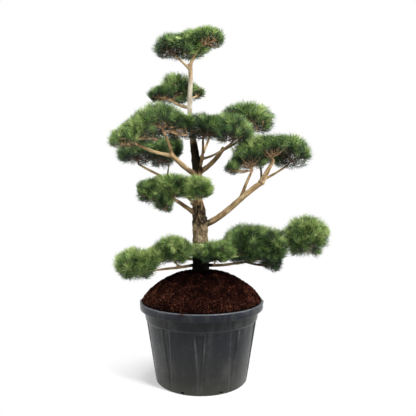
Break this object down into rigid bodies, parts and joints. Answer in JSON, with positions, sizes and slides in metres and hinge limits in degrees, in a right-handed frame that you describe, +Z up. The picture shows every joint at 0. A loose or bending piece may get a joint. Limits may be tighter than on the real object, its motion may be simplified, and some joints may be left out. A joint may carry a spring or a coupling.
{
  "type": "potted pine tree",
  "caption": "Cloud-pruned lodgepole pine with pads of needles on bent boughs, in a round black plastic nursery pot heaped with red-brown bark mix.",
  "frame": {"origin": "centre of the pot's flat underside", "axes": "+Z up along the pot's axis, -Y towards the viewer of the tree's best side, +X to that viewer's right"},
  "size_m": [1.0791, 0.63, 1.7162],
  "materials": {
    "pot_plastic": "dusty satin black",
    "bark_mix": "loose red-brown bark and fibre",
    "bark": "scaly grey-brown bark, paler and smoother above",
    "needles": "satin green needles"
  },
  "bodies": {
    "root": {"pot": "pot_plastic", "potting_mix": "bark_mix", "trunk": "bark", "bough_low_left": "bark", "bough_low_left_fork": "bark", "bough_low_right": "bark", "bough_low_front": "bark", "bough_far_right": "bark", "bough_low_back_left": "bark", "bough_low_back_right": "bark", "bough_right": "bark", "bough_right_upper": "bark", "bough_right_inner": "bark", "bough_right_tip": "bark", "bough_right_back": "bark", "bough_mid_left": "bark", "bough_mid_back": "bark", "bough_back_left": "bark", "bough_back_left_fork": "bark", "bough_high_left": "bark", "bough_high_left_tip": "bark", "bough_high_left_crown": "bark", "bough_middle": "bark", "bough_high_right": "bark", "bough_middle_right": "bark", "bough_high_right_back": "bark", "bough_high_back": "bark", "bough_second_left": "bark", "bough_top_left": "bark", "bough_top_right": "bark", "stub_left": "bark", "stub_back": "bark", "needles_low_left_tip": "needles", "needles_low_left": "needles", "needles_low_right": "needles", "needles_low_front": "needles", "needles_far_right": "needles", "needles_low_back_left": "needles", "needles_low_back_right": "needles", "needles_right_crown": "needles", "needles_right_inner": "needles", "needles_right_tip": "needles", "needles_right_back": "needles", "needles_mid_left": "needles", "needles_mid_front": "needles", "needles_mid_back": "needles", "needles_back_left_tip": "needles", "needles_back_left": "needles", "needles_high_left_tip": "needles", "needles_high_left_crown": "needles", "needles_middle": "needles", "needles_middle_right": "needles", "needles_high_right": "needles", "needles_high_back": "needles", "needles_second_left": "needles", "needles_second_right": "needles", "needles_top_left": "needles", "needles_top_right": "needles"}
  },
  "joints": []
}
